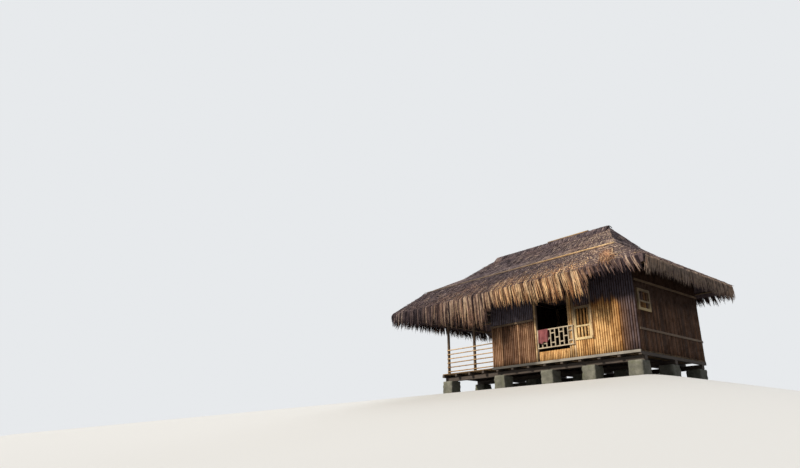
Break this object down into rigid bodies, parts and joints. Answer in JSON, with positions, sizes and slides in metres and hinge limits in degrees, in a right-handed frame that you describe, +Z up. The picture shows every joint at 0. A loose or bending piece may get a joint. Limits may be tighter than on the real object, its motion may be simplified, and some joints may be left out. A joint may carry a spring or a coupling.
{
  "type": "stilt house",
  "caption": "Bamboo stilt house on stone piers with a hipped thatch roof, hanging eave fringe, open veranda, lattice-railed bay and small windows.",
  "frame": {"origin": "middle of the roof's outline, at ground level under the stone piers", "axes": "+X along the front from the veranda to the closed end, +Y from the front to the back, +Z up"},
  "size_m": [9.4, 4.9, 4.7006],
  "materials": {
    "stone": "matte, rough, weathered",
    "timber": "matte, weathered",
    "bamboo_floor": "matte split bamboo",
    "bamboo_pole": "satin bamboo skin with node rings",
    "bamboo_wall": "satin dried bamboo strips",
    "thatch": "matte dry palm leaf",
    "pale_wood": "satin pale cream wood",
    "cloth": "matte woven cotton"
  },
  "bodies": {
    "root": {"front_piers": "stone", "middle_piers": "stone", "back_piers": "stone", "floor_beams": "timber", "floor_joists": "timber", "front_sill": "timber", "front_plate": "timber", "back_plate": "timber", "tie_beams": "timber", "ring_beam": "timber", "ridge_beam": "timber", "house_floor": "bamboo_floor", "veranda_floor": "bamboo_floor", "house_posts": "bamboo_pole", "veranda_posts": "bamboo_pole", "facade_posts": "bamboo_pole", "roof_posts": "bamboo_pole", "front_rafters": "bamboo_pole", "back_rafters": "bamboo_pole", "end_rafters": "bamboo_pole", "hip_rafters": "bamboo_pole", "front_purlins": "bamboo_pole", "back_purlins": "bamboo_pole", "end_purlins": "bamboo_pole", "roof_poles": "bamboo_pole", "veranda_rails": "bamboo_pole", "front_wall_left": "bamboo_wall", "front_low_wall": "bamboo_wall", "front_wall_right": "bamboo_wall", "left_wall": "bamboo_wall", "right_wall": "bamboo_wall", "back_wall": "bamboo_wall", "wall_rails": "bamboo_wall", "thatch_front": "thatch", "thatch_back": "thatch", "thatch_left": "thatch", "thatch_right": "thatch", "fringe_front": "thatch", "fringe_back": "thatch", "fringe_left": "thatch", "fringe_right": "thatch", "ridge_cap": "thatch", "lattice_rail": "pale_wood", "window_frames": "pale_wood", "hung_cloth": "cloth"}
  },
  "joints": []
}
